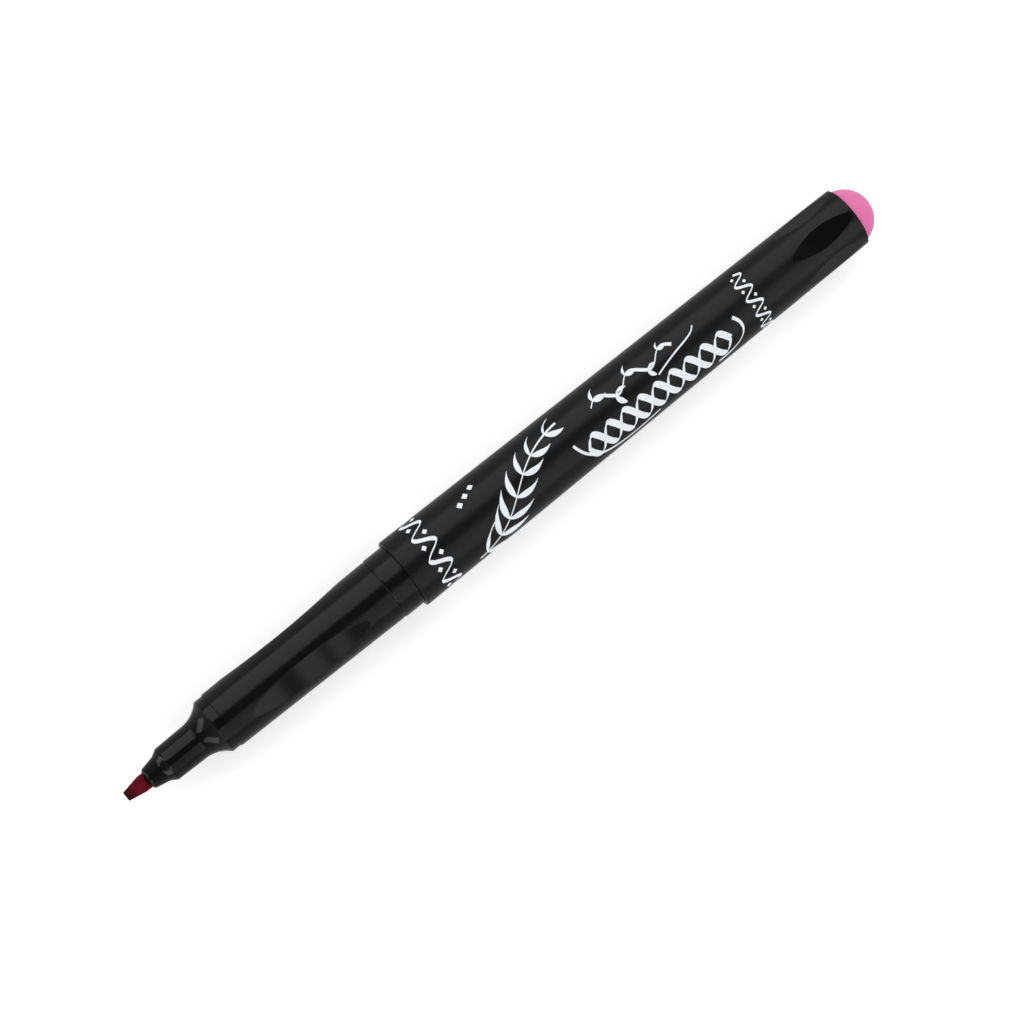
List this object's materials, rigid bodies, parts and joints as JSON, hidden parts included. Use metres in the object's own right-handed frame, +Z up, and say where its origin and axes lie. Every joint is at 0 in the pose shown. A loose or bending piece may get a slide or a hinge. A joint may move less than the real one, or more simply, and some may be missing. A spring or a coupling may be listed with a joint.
{
  "type": "calligraphy marker",
  "caption": "Uncapped calligraphy marker with a flat chisel nib, faceted grip, tapered barrel and a domed plug in the ink's colour.",
  "frame": {"origin": "under the middle of the marker's length, on the surface that its barrel's mouth rests on", "axes": "+X along the marker's axis from the nib to the end plug, +Z up through the middle of a nib's wide face; the axis is horizontal, 5.58 mm above the surface"},
  "size_m": [0.136, 0.0112, 0.0112],
  "materials": {
    "barrel_plastic": "glossy black, injection moulded, with a white printed ornament",
    "grip_plastic": "glossy black, injection moulded",
    "nose_plastic": "glossy black, injection moulded",
    "nib_fibre": "bonded fibre soaked in crimson ink, darker at the writing edge",
    "reservoir_fibre": "bonded polyester fibre soaked in crimson ink",
    "wrap_film": "thin clear film",
    "plug_plastic": "satin pink, injection moulded"
  },
  "bodies": {
    "barrel": {"barrel": "barrel_plastic", "reservoir_core": "reservoir_fibre", "reservoir_film": "wrap_film"},
    "section": {"grip_section": "grip_plastic", "nose_cone": "nose_plastic"},
    "nib": {"chisel_nib": "nib_fibre"},
    "plug": {"end_plug": "plug_plastic"}
  },
  "joints": [
    {"name": "section_pull", "type": "slide", "parent": "barrel", "child": "section", "axis": [-1, 0, 0], "range_m": [0, 0.0135]},
    {"name": "nib_pull", "type": "slide", "parent": "section", "child": "nib", "axis": [-1, 0, 0], "range_m": [0, 0.03]},
    {"name": "plug_pull", "type": "slide", "parent": "barrel", "child": "plug", "axis": [1, 0, 0], "range_m": [0, 0.016]}
  ]
}
